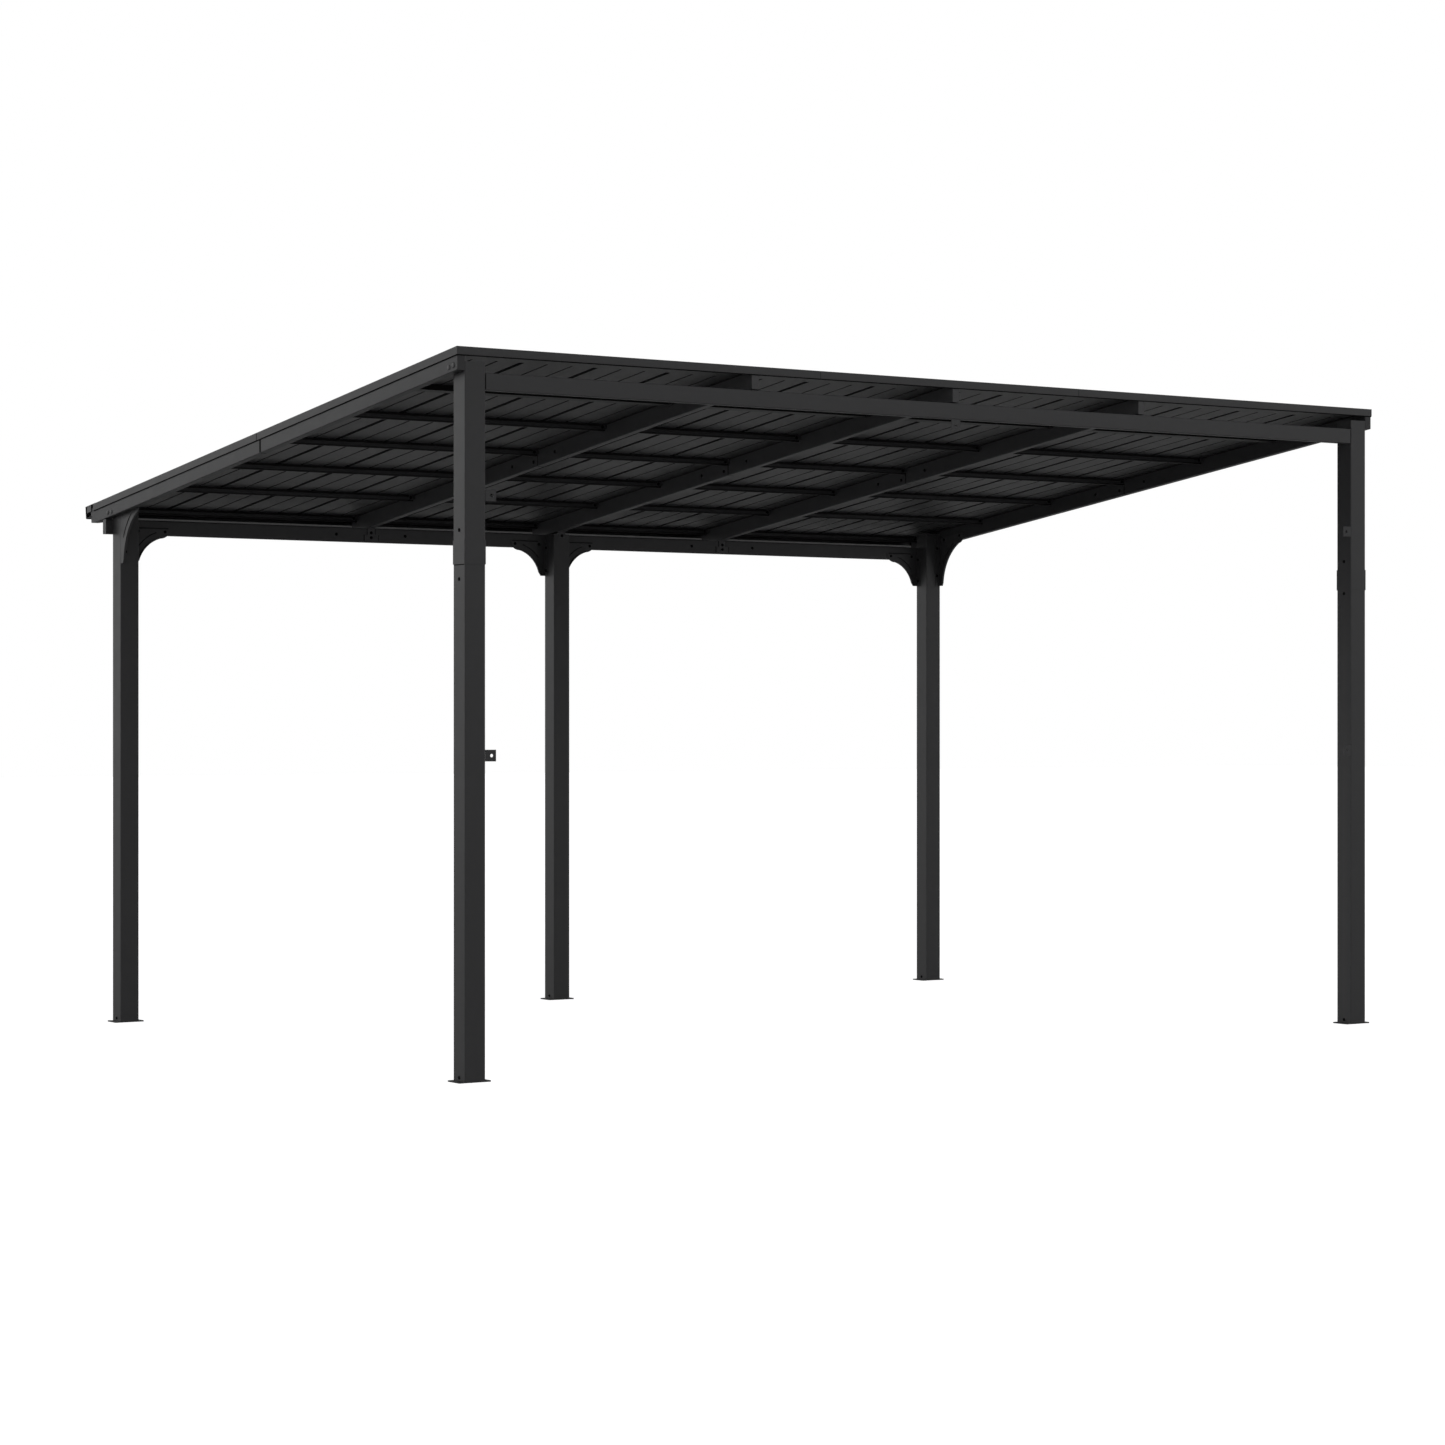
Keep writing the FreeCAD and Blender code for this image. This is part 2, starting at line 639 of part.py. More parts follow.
def wall_trim_section():
    # Upright leg with a top flange, a lip under the panels and a foot on the rafter ends.
    outer = f"-{OFF}"
    inner = f"{TRIM} - {OFF}"
    flange = f"Sizes.trim_flange - {OFF}"
    lip = "Sizes.trim_lip"
    under_flange = f"{RISE} - {TRIM}"
    foot_top = f"{DROP} + {TRIM}"
    return [
        roof_point(outer, DROP), roof_point(outer, RISE),
        roof_point(flange, RISE), roof_point(flange, under_flange),
        roof_point(inner, under_flange), roof_point(inner),
        roof_point(lip), roof_point(lip, f"-{TRIM}"),
        roof_point(inner, f"-{TRIM}"), roof_point(inner, foot_top),
        roof_point("0", foot_top), roof_point("0", DROP),
    ]


def trim_length(name, start, length, corners, reverse=False):
    made = body(name, start, "Places.wall_face")
    pad_outline(made, "YZ_Plane", corners, length, reverse)
    return made


def roof_strip(start, finish, bottom, top):
    # Side view of a strip along the roof with plumb ends.
    return [roof_point(start, bottom), roof_point(start, top),
            roof_point(finish, top), roof_point(finish, bottom)]


def wall_trim():
    # Three lengths; the outer two are closed at their ends.
    section = wall_trim_section()
    length = f"{LEFT_SEAM} + {RIGHT_SEAM}"
    left = trim_length("wall_trim_left", f"-{TRIM_END}", f"{TRIM_END} - {LEFT_SEAM}", section)
    middle = trim_length("wall_trim_middle", f"-{LEFT_SEAM}", length, section)
    right = trim_length("wall_trim_right", TRIM_END, f"{TRIM_END} - {RIGHT_SEAM}", section, True)
    closing = roof_strip(f"-{OFF}", f"{TRIM} - {OFF}", DROP, RISE)
    pad_outline(left, "YZ_Plane", closing, OFF, reverse=True)
    pad_outline(right, "YZ_Plane", closing, OFF)
    return group("wall_trim", [left, middle, right])


def side_trim(name, start, flange_start, finish):
    made = body(name, f"-({TRIM_END} + {OFF})", "Places.wall_face")
    web = roof_strip(start, finish, DROP, RISE)
    flange = roof_strip(flange_start, finish, f"{RISE} - {TRIM}", RISE)
    shelf = roof_strip(start, finish, DROP, f"{DROP} + {TRIM}")
    pad_outline(made, "YZ_Plane", web, TRIM)
    pad_outline(made, "YZ_Plane", flange, "Sizes.trim_flange")
    pad_outline(made, "YZ_Plane", shelf, OFF)
    return made


def left_side_trim():
    seam = "Sizes.side_trim_seam"
    start = f"{TRIM} - {OFF}"
    flange_start = f"Sizes.trim_flange - {OFF}"
    return group("side_trim_left", [
        side_trim("side_trim_upper", start, flange_start, seam),
        side_trim("side_trim_lower", seam, seam, "Places.side_trim_run"),
    ])


def eave_face(rise, inset="0"):
    # Run of the eave trim's outer face, which is square to the roof, at a rise.
    return (f"Places.eave_run - ({RISE} + {TRIM} - ({rise})) * Places.lean"
            f" - ({inset}) / Places.plumb")


def eave_section():
    # Channel square to the roof and open towards the wall. Its floor starts at the rafter
    # tails and its top flange lies on the side trims.
    top = f"{RISE} + {TRIM}"
    floor = f"{top} - Sizes.eave_height"
    floor_top = f"{floor} + {TRIM}"
    start = tail(f"Sizes.rafter_depth + {TRIM} + {floor_top}")
    lap = "Places.tail_run - Sizes.eave_lap"
    return [
        roof_point(start, floor), roof_point(eave_face(floor), floor),
        roof_point("Places.eave_run", top), roof_point(lap, top), roof_point(lap, RISE),
        roof_point(eave_face(RISE, TRIM), RISE), roof_point(eave_face(floor_top, TRIM), floor_top),
        roof_point(start, floor_top),
    ]


def eave_trim():
    # Three lengths; a flap is folded down at each end.
    section = eave_section()
    far = f"{TRIM_END} + {OFF}"
    length = f"{LEFT_SEAM} + {RIGHT_SEAM}"
    left = trim_length("eave_trim_left", f"-({far})", f"{far} - {LEFT_SEAM}", section)
    middle = trim_length("eave_trim_middle", f"-{LEFT_SEAM}", length, section)
    right = trim_length("eave_trim_right", far, f"{far} - {RIGHT_SEAM}", section, True)
    start = "Places.side_trim_run + Sizes.flap_gap"
    flap = roof_strip(start, f"{start} + Sizes.flap_width", DROP, RISE)
    pad_outline(left, "YZ_Plane", flap, TRIM)
    pad_outline(right, "YZ_Plane", flap, TRIM, reverse=True)
    return group("eave_trim", [left, middle, right])


left_side = left_side_trim()
nodes += [wall_trim(), left_side, mirrored("side_trim_right", left_side), eave_trim()]


# Corner braces

def arch_reach(kind, height, extra="0"):
    # Distance of the arch from the post at a height above the beam's underside.
    radius = f"(Sizes.{kind}_arch + {extra})"
    return (f"Sizes.{kind}_arch_out"
            f" - sqrt({radius}^2 - ({height} + Sizes.{kind}_arch_down)^2)")


def arch_height(kind, reach, extra="0"):
    # Height of the arch above the beam's underside at a distance from the post.
    radius = f"(Sizes.{kind}_arch + {extra})"
    return (f"sqrt({radius}^2 - ({reach} - Sizes.{kind}_arch_out)^2)"
            f" - Sizes.{kind}_arch_down")


def brace(made, role, kind, post_top, tip_top, reverse):
    # Pressed sheet: web, flange on the post and a lip along the arch.
    thick = "Sizes.brace_sheet"
    base = "-Sizes.brace_drop"
    heel = "(Sizes.brace_heel - Sizes.brace_drop)"
    reach = f"Sizes.{kind}_reach"
    arch_end = f"Sizes.{kind}_arch_end"
    arch_top = arch_height(kind, arch_end)
    radius = f"Sizes.{kind}_arch"
    tip = f"{arch_top} + Sizes.brace_tip"
    web = [("0", base), ("Sizes.brace_foot", base), (arch_reach(kind, heel), heel, radius, "right"),
           (arch_end, arch_top, "Sizes.brace_lobe", "left"), (reach, tip), (reach, tip_top),
           ("0", post_top)]
    lip = [(arch_reach(kind, heel), heel, radius, "right"),
           (arch_end, arch_top),
           (arch_end, arch_height(kind, arch_end, thick), f"{radius} + {thick}", "left"),
           (arch_reach(kind, heel, thick), heel)]
    pad_outline(made, role, web, thick, reverse)
    flange = rectangle("0", base, thick, post_top)
    pad_outline(made, role, flange, "Sizes.brace_flange", reverse)
    pad_outline(made, role, lip, "Sizes.brace_lip", reverse)
    return made


def beam_brace(name, x):
    # On the wall side of the front beam, to the right of a post.
    made = body(name, x, BEAM_FACE, BEAM_BOTTOM)
    return brace(made, "XZ_Plane", "beam_brace", "Sizes.brace_lap", "Sizes.brace_lap", False)


def rafter_brace(name):
    # On the inner side of the left end rafter, from the corner post towards the wall.
    made = body(name)
    made.Placement.Rotation = FreeCAD.Rotation(UP, 180)
    place(made, "-Places.half_length", "Places.front_face - Sizes.post_side", BEAM_BOTTOM)
    post_top = "Places.rafter_at_post + Sizes.brace_lap"
    tip_top = f"{post_top} + Sizes.rafter_brace_reach * Places.slope"
    return brace(made, "YZ_Plane", "rafter_brace", post_top, tip_top, True)


middle_brace = beam_brace("brace_middle_right", "Sizes.post_side / 2")
middle_braces = [mirrored("brace_middle_left", middle_brace), middle_brace]
left_braces = group("front_left_braces", [
    beam_brace("brace_left_beam", INNER_LEFT),
    rafter_brace("brace_left_rafter"),
])
nodes += [
    left_braces,
    group("front_middle_braces", middle_braces),
    mirrored("front_right_braces", left_braces),
]


# Tabs that fasten the shelter to the wall

def wall_tab(name, x, z, hole_x, hole_z):
    made = body(name, x, "Places.wall_face", z)
    drawing = sketch(made, "XZ_Plane")
    outline(drawing, rectangle("0", "0", "Sizes.tab_width", "Sizes.tab_height"))
    circle(drawing, hole_x, hole_z, "Sizes.tab_hole_radius")
    pad(made, drawing, "Sizes.tab_sheet", reverse=True)
    return made


def wall_tabs():
    # Two tabs beside each wall post and one under the middle of the wall beam.
    reach = "Sizes.tab_hole_reach"
    middle = "Sizes.tab_height / 2"
    tabs = []
    for name, height in (("low_tab", "Sizes.low_tab"), ("high_tab", "Sizes.high_tab")):
        tab = wall_tab(name, INNER_LEFT, f"{height} - {middle}", reach, middle)
        tabs += [tab, mirrored(f"{name}_right", tab)]
    tabs.append(wall_tab("beam_tab", "-Sizes.tab_width / 2", f"{WALL_BEAM_BOTTOM} - Sizes.tab_height",
                         "Sizes.tab_width / 2", f"Sizes.tab_height - {reach}"))
    return group("wall_tabs", tabs)


nodes.append(wall_tabs())


# Brackets between the rafters and the front beam or the middle post

def rafter_leg(made, run):
    # Leg under the rafter, from the given run towards the wall.
    start = f"{run} - Sizes.tee_leg"
    foot = "-Sizes.tee_sheet"
    corners = [(start, under(start)), (run, under(run)),
               (run, under(run, foot)), (start, under(start, foot))]
    pad_outline(made, "YZ_Plane", corners, "Sizes.tee_neck", both=True)


def tee_bracket(name, x):
    made = body(name, x, "Places.wall_face")
    run = "Sizes.frame_depth"
    rafter_leg(made, run)
    start = f"{run} - Sizes.tee_sheet"
    bottom = f"{BEAM_BOTTOM} + Sizes.tee_bottom"
    shoulder = f"{BEAM_BOTTOM} + Sizes.tee_shoulder"
    wide = rectangle(start, bottom, run, shoulder)
    narrow = rectangle(start, bottom, run, under(run))
    pad_outline(made, "YZ_Plane", wide, "Sizes.tee_foot", both=True)
    pad_outline(made, "YZ_Plane", narrow, "Sizes.tee_neck", both=True)
    return made


def post_bracket(name):
    made = body(name, "0", "Places.wall_face")
    run = "Sizes.frame_depth - Sizes.post_side"
    rafter_leg(made, run)
    start = f"{run} - Sizes.tee_sheet"
    upright = rectangle(start, "Places.beam_top - Sizes.post_tab_bottom", run, under(run))
    pad_outline(made, "YZ_Plane", upright, "Sizes.tee_neck", both=True)
    return made


tee = tee_bracket("tee_left", f"-{BAY}")
nodes.append(group("rafter_brackets", [tee, post_bracket("post_tab"), mirrored("tee_right", tee)]))


document.recompute()
for item in document.Objects:
    if "Invalid" in item.State or "Error" in item.State:
        raise RuntimeError(f"{item.Label} could not be built")
os.makedirs("parts", exist_ok=True)
for node in nodes:
    if node.Shape.isNull() or not node.Shape.isValid():
        raise RuntimeError(f"{node.Label} has no sound shape")
    node.Shape.exportStep(f"parts/{node.Label}.step")
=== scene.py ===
import math

import bmesh
import bpy
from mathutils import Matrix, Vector


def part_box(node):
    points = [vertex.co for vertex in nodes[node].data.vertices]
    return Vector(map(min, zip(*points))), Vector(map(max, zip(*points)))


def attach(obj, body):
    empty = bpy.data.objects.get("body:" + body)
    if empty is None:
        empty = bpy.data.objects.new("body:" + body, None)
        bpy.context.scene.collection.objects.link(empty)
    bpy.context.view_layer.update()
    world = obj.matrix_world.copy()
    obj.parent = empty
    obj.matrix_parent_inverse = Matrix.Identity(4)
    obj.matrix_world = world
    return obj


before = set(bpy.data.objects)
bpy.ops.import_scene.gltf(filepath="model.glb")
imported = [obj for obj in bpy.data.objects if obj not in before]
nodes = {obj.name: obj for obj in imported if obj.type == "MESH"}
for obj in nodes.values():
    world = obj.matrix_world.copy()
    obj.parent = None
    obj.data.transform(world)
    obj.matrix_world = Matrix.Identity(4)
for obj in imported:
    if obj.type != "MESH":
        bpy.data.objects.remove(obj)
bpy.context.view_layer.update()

# Sizes in millimetres; spot() turns places into the scene's metres

METRE = 1000

# Frame: X starts at the outer face of the left posts, and the run at the wall side
HALF_LENGTH = 2102.5
LENGTH = 2 * HALF_LENGTH
DEPTH = 2930.0
POST = 80.0
BEAM_FOOT = 2000.0
BEAM_HEIGHT = 60.0
BEAM_WIDTH = 30.0
PLATE_SHEET = 2.0
PLATE_FACE = DEPTH - PLATE_SHEET

# Rafters and purlins: the seam, the tail and the purlins' places are runs
RAFTER_WIDTH = 30.0
RAFTER_DEPTH = 67.5
RAFTER_SEAM = 1506.5
INNER_BAY = 907.5
TAIL = 3076.0
FIRST_PURLIN = 522.0
SECOND_PURLIN = 1000.0
LAST_PURLIN = TAIL - 41
PURLIN_STEPS = 4
PURLIN_DEPTH = 21.6

# Trims: they stand a little off the rafters and beam that they cover
TRIM_SHEET = 0.8
TRIM_OFF = 3.0
TRIM_DROP = 15.5
SIDE_TRIM_END = TAIL - 21
EAVE_RUN = TAIL + 56
EAVE_TOP = 12.8
EAVE_HEIGHT = 48.4

# Slope of the roof, and the levels at the wall that follow from it
PITCH = math.radians(7)
SLOPE = math.tan(PITCH)
PLUMB = 1 / math.cos(PITCH)
WALL_FACE = (TRIM_OFF - EAVE_RUN) / 2
RAFTER_BASE = BEAM_FOOT + BEAM_HEIGHT + (DEPTH + BEAM_WIDTH) * SLOPE
WALL_BEAM_TOP = RAFTER_BASE - BEAM_WIDTH * SLOPE
ROOF_BASE = RAFTER_BASE + (RAFTER_DEPTH + TRIM_SHEET) * PLUMB

RAFTER_LINES = [-RAFTER_WIDTH / 2, HALF_LENGTH - INNER_BAY, HALF_LENGTH,
                HALF_LENGTH + INNER_BAY, LENGTH + RAFTER_WIDTH / 2]
BAYS = [(left + RAFTER_WIDTH / 2, right - RAFTER_WIDTH / 2)
        for left, right in zip(RAFTER_LINES, RAFTER_LINES[1:])]
PURLIN_PITCH = (LAST_PURLIN - SECOND_PURLIN) / PURLIN_STEPS
EVEN_PURLINS = [SECOND_PURLIN + step * PURLIN_PITCH for step in range(PURLIN_STEPS + 1)]

# Directions, seen from the wall side
LEFT = Vector((-1, 0, 0))
RIGHT = Vector((1, 0, 0))
BACK = Vector((0, -1, 0))
FRONT = Vector((0, 1, 0))
UP = Vector((0, 0, 1))
DOWN_ROOF = Vector((0, math.cos(PITCH), -math.sin(PITCH)))
OFF_ROOF = Vector((0, math.sin(PITCH), math.cos(PITCH)))


def spot(x, run, z):
    return Vector((x - HALF_LENGTH, run + WALL_FACE, z)) / METRE


def across(x):
    # The same place on the other side of the shelter's middle.
    return LENGTH - x


def on_roof(x, run, rise):
    # Place at a run, whose height over the underside of the panels is square to the roof.
    return spot(x, run, ROOF_BASE + rise * PLUMB - run * SLOPE)


def under_panels(x, run, down, drop):
    # Place below the panels, a little way down the roof from a run on their underside.
    return on_roof(x, run, 0) + (DOWN_ROOF * down - OFF_ROOF * drop) / METRE


# Camera: level, from the house side and the left, as in the photograph

PHOTO_WIDTH = 1445
FOCAL_PIXELS = 3443.9
CAMERA_PLACE = (-7.8789, -11.7810, 1.2265)
CAMERA_HEADING = math.radians(-33.7613)
LEVEL = math.radians(90)
SENSOR = 36.0
FARTHEST = 200.0


def add_camera():
    data = bpy.data.cameras.new("camera")
    data.sensor_width = SENSOR
    data.lens = SENSOR * FOCAL_PIXELS / PHOTO_WIDTH
    data.clip_end = FARTHEST
    camera = bpy.data.objects.new("camera", data)
    camera.location = CAMERA_PLACE
    camera.rotation_euler = (LEVEL, 0, CAMERA_HEADING)
    bpy.context.scene.collection.objects.link(camera)
    bpy.context.scene.camera = camera


add_camera()
bpy.context.scene.view_settings.view_transform = "Standard"


# Steps that the materials share

PLAIN_SPECULAR = 0.5
NOISE_LOW = 0.3
NOISE_HIGH = 0.7
GRAIN_HEIGHT = 0.0002


def new_material(name, colour, roughness, specular):
    material = bpy.data.materials.new(name)
    material.use_nodes = True
    shader = material.node_tree.nodes["Principled BSDF"]
    shader.inputs["Base Color"].default_value = (*colour, 1)
    shader.inputs["Roughness"].default_value = roughness
    shader.inputs["Specular IOR Level"].default_value = specular
    return material, material.node_tree, shader


def object_place(tree):
    return tree.nodes.new("ShaderNodeTexCoord").outputs["Object"]


def noise(tree, place, scale, detail):
    texture = tree.nodes.new("ShaderNodeTexNoise")
    texture.inputs["Scale"].default_value = scale
    texture.inputs["Detail"].default_value = detail
    tree.links.new(place, texture.inputs["Vector"])
    return texture.outputs["Fac"]


def spread(tree, value, low, high):
    # Stretches the middle of a noise over the range from low to high.
    reach = tree.nodes.new("ShaderNodeMapRange")
    reach.inputs["From Min"].default_value = NOISE_LOW
    reach.inputs["From Max"].default_value = NOISE_HIGH
    reach.inputs["To Min"].default_value = low
    reach.inputs["To Max"].default_value = high
    tree.links.new(value, reach.inputs["Value"])
    return reach.outputs["Result"]


def uneven(tree, value, middle, change):
    # Spreads a noise about a middle value.
    return spread(tree, value, middle - change, middle + change)


def blend(tree, share, first, second):
    # Mixes two colours; each is a plain colour or the output of a node.
    shade = tree.nodes.new("ShaderNodeMix")
    shade.data_type = "RGBA"
    tree.links.new(share, shade.inputs["Factor"])
    for name, colour in (("A", first), ("B", second)):
        if isinstance(colour, tuple):
            shade.inputs[name].default_value = (*colour, 1)
        else:
            tree.links.new(colour, shade.inputs[name])
    return shade.outputs["Result"]


def add_grain(tree, shader, place, scale, strength):
    # Fine relief over the whole surface.
    bump = tree.nodes.new("ShaderNodeBump")
    bump.inputs["Strength"].default_value = strength
    bump.inputs["Distance"].default_value = GRAIN_HEIGHT
    tree.links.new(noise(tree, place, scale, detail=2), bump.inputs["Height"])
    tree.links.new(bump.outputs["Normal"], shader.inputs["Normal"])


def arithmetic(tree, operation, *values):
    # One step of arithmetic in a material; values are numbers or the outputs of nodes.
    node = tree.nodes.new("ShaderNodeMath")
    node.operation = operation
    for socket, value in zip(node.inputs, values):
        if isinstance(value, (int, float)):
            socket.default_value = value
        else:
            tree.links.new(value, socket)
    return node.outputs["Value"]


def along(tree, place, direction):
    # How far a place of the part lies along a direction, in millimetres.
    dot = tree.nodes.new("ShaderNodeVectorMath")
    dot.operation = "DOT_PRODUCT"
    tree.links.new(place, dot.inputs[0])
    dot.inputs[1].default_value = direction * METRE
    return dot.outputs["Value"]


def either(tree, values):
    # One where any of the values is one.
    result = values[0]
    for value in values[1:]:
        result = arithmetic(tree, "MAXIMUM", result, value)
    return result


def near(tree, value, targets, reach):
    # One where the value is within reach of a target, nought elsewhere.
    return either(tree, [arithmetic(tree, "COMPARE", value, target, reach) for target in targets])


# Marks: the places on a coat that are painted black: painted shade where shade gathers, and dark
# joints between lengths of trim

PANEL_OVERHANG = 17.1
PANEL_LEFT = -HALF_LENGTH - PANEL_OVERHANG
PANELS = 14
PANEL_PITCH = -2 * PANEL_LEFT / PANELS
PANEL_PLANE = WALL_FACE * math.sin(PITCH) + ROOF_BASE * math.cos(PITCH)
RIB_MIDDLES = [10.0]
GROOVE_MIDDLES = [115.0, 215.0]

# Bands of painted shade in the ribs and grooves and on their lips: half width, height above the
# panels, half height
RIB_BANDS = ((9.3, 5.0, 4.6), (12.5, 0.0, 0.3))
GROOVE_BANDS = ((2.6, 3.3, 3.0), (4.8, 0.0, 0.3))

SIDE_TRIM_SEAMS = [1531.0 + WALL_FACE]
END_TRIM_SEAMS = [-622.8, 590.4]


def above_panels(tree, place):
    # Height over the underside of the roof panels, square to the roof.
    return arithmetic(tree, "SUBTRACT", along(tree, place, OFF_ROOF), PANEL_PLANE)


def painted_panel_shade(tree, place):
    # Painted shade in the hollows of the ribs and small grooves and on their lips, seen from
    # below.
    x = arithmetic(tree, "WRAP", along(tree, place, RIGHT), PANEL_LEFT + PANEL_PITCH, PANEL_LEFT)
    rise = above_panels(tree, place)
    found = []
    for middles, bands in ((RIB_MIDDLES, RIB_BANDS), (GROOVE_MIDDLES, GROOVE_BANDS)):
        lines = [PANEL_LEFT + middle for middle in middles]
        for half_width, height, half_height in bands:
            found.append(arithmetic(tree, "MULTIPLY", near(tree, x, lines, half_width),
                                    near(tree, rise, [height], half_height)))
    return either(tree, found)


def shade_band(height, half_height):
    # Marks of a band of painted shade along the roof, at a height over the underside of the
    # panels.
    def marks(tree, place):
        return near(tree, above_panels(tree, place), [height], half_height)
    return marks


def seams(direction, targets, reach):
    # Marks of the joints between two lengths of a trim that runs along a direction.
    def marks(tree, place):
        return near(tree, along(tree, place, direction), targets, reach)
    return marks


# Materials

CHARCOAL = (0.038, 0.038, 0.04)
BLACK = (0.004, 0.004, 0.004)

# Finishes: roughness and the fineness of the grain
TUBE = (0.45, 700)
SHEET = (0.42, 1100)
DULL = (0.6, 700)
PAINTED_SHADE_FINISH = (0.8, 500)


def tint(colour, share):
    return tuple(part * share for part in colour)


def powder_coat(name, colour, finish, specular=PLAIN_SPECULAR, marks=None):
    # Matt powder coat: faint clouds in tone and gloss over a fine orange peel, and black where the
    # marks are. The marks are painted shade, save the seams of the trims, which are dark joints.
    roughness, grain = finish
    material, tree, shader = new_material(name, colour, roughness, specular)
    place = object_place(tree)
    clouds = spread(tree, noise(tree, place, scale=3.1, detail=5), 0, 1)
    shade = blend(tree, clouds, tint(colour, 0.96), tint(colour, 1.04))
    gloss = uneven(tree, noise(tree, place, scale=17, detail=4), roughness, change=0.015)
    if marks:
        found = marks(tree, place)
        shade = blend(tree, found, shade, BLACK)
        gloss = arithmetic(tree, "MAXIMUM", gloss, found)
    tree.links.new(shade, shader.inputs["Base Color"])
    tree.links.new(gloss, shader.inputs["Roughness"])
    add_grain(tree, shader, place, grain, strength=0.25)
    return material


def fastener_steel(name, colour, roughness, specular):
    # Blackened steel with a worn, uneven gloss.
    material, tree, shader = new_material(name, colour, roughness, specular)
    place = object_place(tree)
    gloss = uneven(tree, noise(tree, place, scale=240, detail=3), roughness, change=0.1)
    tree.links.new(gloss, shader.inputs["Roughness"])
    add_grain(tree, shader, place, scale=900, strength=0.2)
    return material


# Painted shade along rafters and purlins, close under the panels. On the first purlin the painted
# shade covers the whole wall side, which lies behind the wall beam.
rafter_shade = shade_band(height=-2.5, half_height=2.2)
purlin_shade = shade_band(height=-4.5, half_height=4.5)
first_purlin_shade = shade_band(height=-10.5, half_height=10.8)
side_trim_seams = seams(FRONT, SIDE_TRIM_SEAMS, reach=2.6)
end_trim_seams = seams(RIGHT, END_TRIM_SEAMS, reach=1.0)

frame_coat = powder_coat("charcoal_frame_coat", CHARCOAL, TUBE)
panel_coat = powder_coat("charcoal_panel_coat", CHARCOAL, SHEET, marks=painted_panel_shade)
side_coat = powder_coat("charcoal_side_trim_coat", CHARCOAL, SHEET, specular=0.33,
                        marks=side_trim_seams)
end_coat = powder_coat("charcoal_end_trim_coat", CHARCOAL, SHEET, marks=end_trim_seams)
# The coat of the brace beads and purlin hems is painted near black: painted shade along them.
painted_shade_bead_coat = powder_coat("charcoal_bead_painted_shade_coat", tint(CHARCOAL, 0.3), DULL, specular=0.2)
# The inner rafters' coat is painted lighter than the end rafters' charcoal: painted light on the
# rafters under the roof.
inner_rafter_painted_light_coat = powder_coat("charcoal_inner_rafter_painted_light_coat", tint(CHARCOAL, 1.35), TUBE, marks=rafter_shade)
end_rafter_coat = powder_coat("charcoal_end_rafter_coat", CHARCOAL, TUBE, specular=0.33,
                              marks=rafter_shade)
purlin_coat = powder_coat("charcoal_purlin_coat", CHARCOAL, TUBE, marks=purlin_shade)
# The first purlin's coat is painted darker than the other purlins': painted shade behind the wall
# beam.
first_purlin_painted_shade_coat = powder_coat("charcoal_first_purlin_painted_shade_coat", tint(CHARCOAL, 0.6), TUBE,
                                specular=0.35, marks=first_purlin_shade)
screw_black = fastener_steel("black_screws", BLACK, roughness=0.6, specular=0.05)
# Near black for strips, lines and plates of painted shade under trims, in joints and beside
# brackets.
painted_shade_black = powder_coat("painted_shade_black", BLACK, PAINTED_SHADE_FINISH, specular=0.1)

# The first start of a node's name that fits gives its coat; the rest have the frame's.
COATS = {
    "roof_panels": panel_coat,
    "side_trim": side_coat,
    "wall_trim": end_coat,
    "eave_trim": end_coat,
    "rafter_1": end_rafter_coat,
    "rafter_5": end_rafter_coat,
    "rafter_": inner_rafter_painted_light_coat,
    "purlin_row_1": first_purlin_painted_shade_coat,
    "purlin_row": purlin_coat,
}


def coat_of(name):
    for start, coat in COATS.items():
        if name.startswith(start):
            return coat
    return frame_coat


for name, node in nodes.items():
    node.data.materials.clear()
    node.data.materials.append(coat_of(name))


# Pieces

def piece(name, mesh, material, smooth=True):
    result = bpy.data.meshes.new(name)
    mesh.to_mesh(result)
    mesh.free()
    if smooth:
        for face in result.polygons:
            face.use_smooth = True
    result.materials.append(material)
    item = bpy.data.objects.new(name, result)
    bpy.context.scene.collection.objects.link(item)
    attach(item, "root")


# Heads of screws and bolts, turned about the direction that they look in

ROUND = 24
HEX_ANGLE = math.radians(60)
HEX_FLAT = math.cos(HEX_ANGLE / 2)
NEARLY_UP = 0.9

# Profiles from the face outwards, as radius and height; a socket has a radius and a floor
SCREW = [(6.5, 0), (6.5, 0.6), (6.1, 1.4), (5.3, 2.0), (4.1, 2.4), (3.2, 2.45)]
SCREW_SOCKET = (2.7, 0.7)
DOME = [(9.8, 0), (9.8, 0.5), (9.3, 1.2), (8.0, 1.9), (6.0, 2.4), (3.4, 2.75), (1.2, 2.85)]


def across_axes(normal):
    # Two directions that lie in a face with the given normal.
    first = normal.cross(UP if abs(normal.z) < NEARLY_UP else RIGHT).normalized()
    return first, normal.cross(first).normalized()


def ring(mesh, centre, normal, radius, height, six_sided=False):
    first, second = across_axes(normal)
    points = []
    for step in range(ROUND):
        angle = math.tau * step / ROUND
        reach = radius
        if six_sided:
            reach = radius * HEX_FLAT / math.cos(angle % HEX_ANGLE - HEX_ANGLE / 2)
        side = first * math.cos(angle) * reach + second * math.sin(angle) * reach
        points.append(mesh.verts.new(centre + (side + normal * height) / METRE))
    return points


def bridge(mesh, lower, upper):
    for step in range(ROUND):
        after = (step + 1) % ROUND
        mesh.faces.new((lower[step], lower[after], upper[after], upper[step]))


